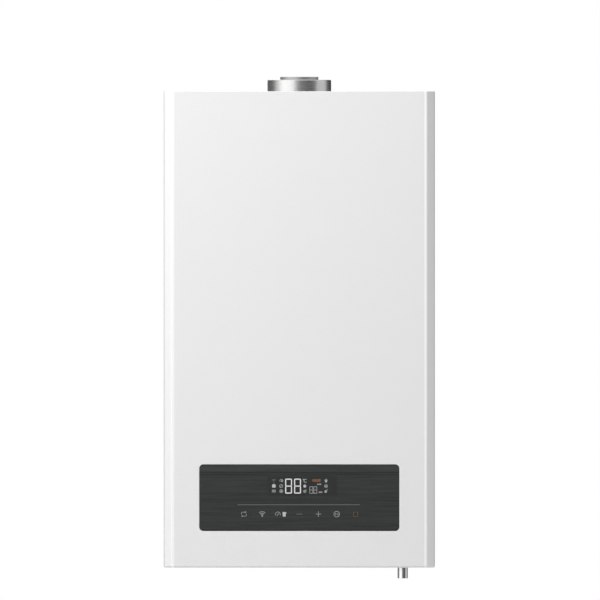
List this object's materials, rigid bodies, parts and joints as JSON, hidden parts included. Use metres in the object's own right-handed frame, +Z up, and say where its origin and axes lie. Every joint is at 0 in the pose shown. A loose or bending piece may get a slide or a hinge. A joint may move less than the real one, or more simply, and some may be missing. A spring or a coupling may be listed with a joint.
{
  "type": "wall-hung combi boiler",
  "caption": "Wall-hung combi boiler: white steel casing with a black touch-control glass, concentric flue collar on top, connections below, and full gas, water and fan parts inside.",
  "frame": {"origin": "wall plane, on the boiler's centreline, at the height of the casing's bottom edge", "axes": "+X to the right seen from the room, +Y into the wall, +Z up"},
  "size_m": [0.424, 0.32, 0.7876],
  "materials": {
    "white_enamel": "satin powder coat",
    "galvanised_steel": "dull zinc",
    "aluminised_steel": "matt",
    "black_glass": "gloss",
    "dark_plastic": "fine texture",
    "green_board": "solder mask",
    "black_rubber": "matt",
    "grey_silicone": "satin",
    "clear_glass": "polished",
    "zinc_screw": "bright zinc",
    "stainless_steel": "brushed",
    "polished_steel": "polished",
    "ceramic_fibre": "matt",
    "white_ceramic": "glazed",
    "copper": "satin",
    "brass": "machined",
    "cast_aluminium": "as cast",
    "grey_composite": "moulded",
    "black_paint": "satin",
    "red_paint": "gloss",
    "red_plastic": "moulded",
    "blue_plastic": "moulded",
    "white_plastic": "moulded"
  },
  "bodies": {
    "boiler": {"left_side_panel": "white_enamel", "right_side_panel": "white_enamel", "top_panel": "white_enamel", "rear_frame": "galvanised_steel", "bottom_plate": "galvanised_steel", "control_box_brackets": "galvanised_steel", "chamber_box": "galvanised_steel", "burner_blades": "stainless_steel", "burner_frame": "aluminised_steel", "gas_manifold": "aluminised_steel", "combustion_chamber": "aluminised_steel", "insulation_boards": "ceramic_fibre", "electrodes": "white_ceramic", "exchanger_tubes": "copper", "exchanger_fins": "copper", "exchanger_casing": "copper", "exchanger_headers": "copper", "flue_hood": "aluminised_steel", "fan_casing": "aluminised_steel", "fan_motor": "black_paint", "flue_duct": "stainless_steel", "flue_collar": "stainless_steel", "collar_seal": "black_rubber", "air_pressure_switch": "white_plastic", "pressure_switch_tubes": "grey_silicone", "gas_valve": "cast_aluminium", "gas_pipe": "copper", "ignition_transformer": "dark_plastic", "connection_nipples": "brass", "cable_gland": "black_rubber", "flow_block": "grey_composite", "diverter_actuator": "white_plastic", "pressure_sensor": "brass", "return_block": "grey_composite", "plate_heat_exchanger": "stainless_steel", "pump_body": "grey_composite", "pump_motor": "black_paint", "air_vent": "brass", "safety_valve": "brass", "discharge_pipe": "polished_steel", "flow_pipe": "copper", "return_pipe": "copper", "expansion_vessel": "red_paint", "expansion_hose": "black_rubber"},
    "cover": {"front_cover": "white_enamel"},
    "control_unit": {"control_glass": "black_glass", "control_box": "dark_plastic", "control_box_lid": "dark_plastic", "main_circuit_board": "green_board", "display_board": "green_board"},
    "chamber_door": {"chamber_panel": "galvanised_steel", "sight_glass": "clear_glass", "chamber_panel_screws": "zinc_screw", "chamber_gasket": "black_rubber"},
    "fan_rotor": {"fan_impeller": "galvanised_steel"},
    "pump_rotor": {"pump_impeller": "white_plastic"},
    "diverter_stem": {"diverter_spindle": "stainless_steel"},
    "relief_knob": {"safety_valve_knob": "red_plastic"},
    "filling_knob": {"filling_valve_knob": "blue_plastic"},
    "water_turbine": {"flow_turbine": "white_plastic"}
  },
  "joints": [
    {"name": "cover_off", "type": "slide", "parent": "boiler", "child": "cover", "axis": [0, -1, 0], "range_m": [0, 0.45]},
    {"name": "control_unit_swing", "type": "hinge", "parent": "boiler", "child": "control_unit", "pos_m": [0, -0.2644, 0.05], "axis": [1, 0, 0], "range_deg": [0, 90]},
    {"name": "chamber_door_off", "type": "slide", "parent": "boiler", "child": "chamber_door", "axis": [0, -1, 0], "range_m": [0, 0.22]},
    {"name": "fan_spin", "type": "hinge", "parent": "boiler", "child": "fan_rotor", "pos_m": [-0.05, -0.168, 0.64], "axis": [0, -1, 0], "continuous": true},
    {"name": "pump_spin", "type": "hinge", "parent": "boiler", "child": "pump_rotor", "pos_m": [0.118, -0.116, 0.186], "axis": [0, -1, 0], "continuous": true},
    {"name": "diverter_shift", "type": "slide", "parent": "boiler", "child": "diverter_stem", "axis": [0, 1, 0], "range_m": [0, 0.008]},
    {"name": "relief_turn", "type": "hinge", "parent": "boiler", "child": "relief_knob", "pos_m": [0.1624, -0.112, 0.1], "axis": [0, 0, 1], "range_deg": [0, 90]},
    {"name": "filling_turn", "type": "hinge", "parent": "boiler", "child": "filling_knob", "pos_m": [0.098, -0.135, 0.012], "axis": [0, 0, 1], "range_deg": [0, 180]},
    {"name": "turbine_spin", "type": "hinge", "parent": "boiler", "child": "water_turbine", "pos_m": [0.065, -0.095, 0.045], "axis": [0, 0, 1], "continuous": true}
  ],
  "couplings": [
    {"joint": "control_unit_swing", "follows": "cover_off", "rad_per_m": 3.49},
    {"joint": "chamber_door_off", "follows": "cover_off", "ratio": 0.48}
  ]
}
